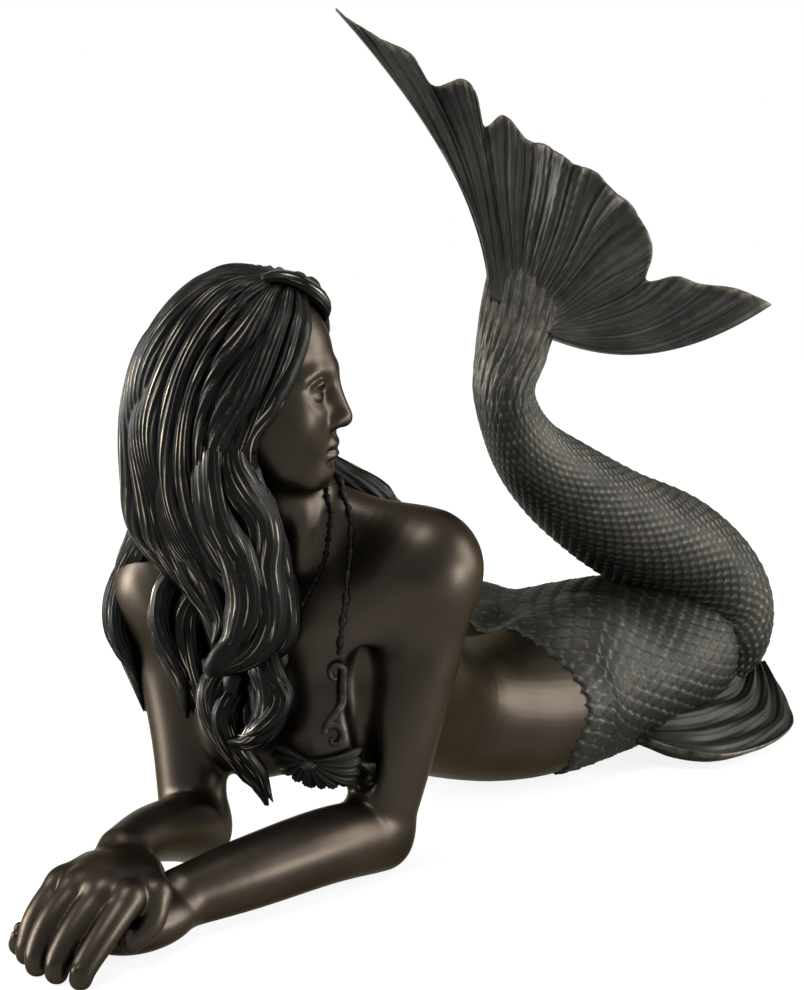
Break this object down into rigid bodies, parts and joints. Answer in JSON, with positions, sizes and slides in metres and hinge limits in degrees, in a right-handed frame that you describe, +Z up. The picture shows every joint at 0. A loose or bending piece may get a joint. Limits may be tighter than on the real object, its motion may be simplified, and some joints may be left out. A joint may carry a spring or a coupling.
{
  "type": "mermaid figurine",
  "caption": "Bronze-finish figurine of a mermaid lying prone on her crossed forearms, head turned to her left, scaled tail folded up behind her to a fan-shaped fluke.",
  "frame": {"origin": "centre of the footprint, on the surface that it rests on", "axes": "+X from the crossed hands to the tail, +Y to her right side, +Z up"},
  "size_m": [0.3008, 0.1062, 0.2023],
  "materials": {
    "bronze_finish": "cold-cast resin with a dark bronze patina, polished on the skin and dry-brushed on the hair and scales"
  },
  "bodies": {
    "root": {"mermaid": "bronze_finish"}
  },
  "joints": []
}
